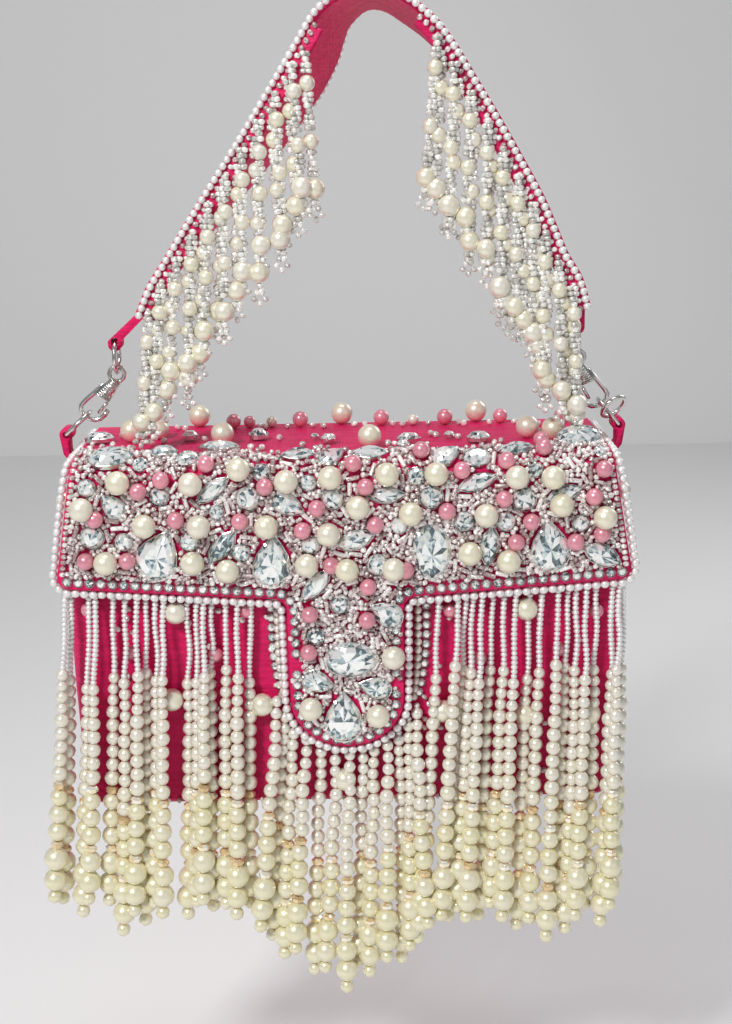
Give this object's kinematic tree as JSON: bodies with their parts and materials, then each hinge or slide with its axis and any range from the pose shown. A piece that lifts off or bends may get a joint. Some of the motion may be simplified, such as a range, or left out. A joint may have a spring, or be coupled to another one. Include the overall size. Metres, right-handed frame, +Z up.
{
  "type": "beaded evening handbag",
  "caption": "Box-shaped fabric evening bag with a beaded flap and tongue, hanging bead fringes, a beaded strap and spring hooks with rings.",
  "frame": {"origin": "inner face of the strap at its crown, midway across its width, where the hand holds it", "axes": "+Z up, +Y from the flap's front to the back, +X to the right seen from the front"},
  "size_m": [0.1985, 0.0709, 0.3472],
  "materials": {
    "silk": "hot-pink raw silk, slightly slubbed, soft sheen",
    "cream_pearl": "warm cream imitation pearl, glossy",
    "white_pearl": "white pearl beads, glossy",
    "clear_seed": "silver-lined clear seed beads with pearls",
    "crystal": "foil-backed cut crystal",
    "nickel": "polished nickel"
  },
  "bodies": {
    "bag": {"body_shell": "silk", "flap": "silk", "flap_piping": "white_pearl", "strap": "silk", "strap_piping_front": "white_pearl", "strap_piping_back": "white_pearl", "strap_fringe_left": "clear_seed", "strap_fringe_right": "clear_seed", "fringe_right": "cream_pearl", "fringe_left": "cream_pearl", "fringe_tongue": "cream_pearl", "snap_disc": "nickel", "strap_tab_right": "silk", "strap_tab_left": "silk", "strap_ring_right": "nickel", "strap_ring_left": "nickel", "hook_right": "nickel", "hook_left": "nickel", "d_ring_right": "nickel", "d_ring_left": "nickel", "body_tab_right": "silk", "body_tab_left": "silk", "spare_ring": "nickel", "crystal_pear_left": "crystal", "crystal_pear_mid_left": "crystal", "crystal_oval_mid_right": "crystal", "crystal_pear_right": "crystal", "crystal_navette_right": "crystal", "crystal_oval_tongue": "crystal", "crystal_pear_tongue": "crystal", "crystal_small_tongue_left": "crystal", "crystal_small_tongue_right": "crystal", "crystal_oval_top_right": "crystal", "crystal_oval_top_left": "crystal", "pearl_01": "cream_pearl", "pearl_02": "cream_pearl", "pearl_03": "cream_pearl", "pearl_04": "cream_pearl", "pearl_05": "cream_pearl", "pearl_06": "cream_pearl", "pearl_07": "cream_pearl", "pearl_08": "cream_pearl", "pearl_09": "cream_pearl", "pearl_10": "cream_pearl", "pearl_11": "cream_pearl", "pearl_12": "cream_pearl", "pearl_13": "cream_pearl", "pearl_14": "cream_pearl", "pearl_15": "cream_pearl", "pearl_16": "cream_pearl", "pearl_17": "cream_pearl", "pearl_18": "cream_pearl", "pearl_19": "cream_pearl", "pearl_20": "cream_pearl", "pearl_21": "cream_pearl"},
    "gate_right_body": {"gate_right": "nickel"},
    "gate_left_body": {"gate_left": "nickel"}
  },
  "joints": [
    {"name": "gate_right", "type": "hinge", "parent": "bag", "child": "gate_right_body", "pos_m": [0.07106, 0, -0.13018], "axis": [0, -1, 0], "range_deg": [0, 22], "stiffness_Nm_per_rad": 0.01},
    {"name": "gate_left", "type": "hinge", "parent": "bag", "child": "gate_left_body", "pos_m": [-0.09513, 0, -0.13248], "axis": [0, 1, 0], "range_deg": [0, 22], "stiffness_Nm_per_rad": 0.01}
  ]
}
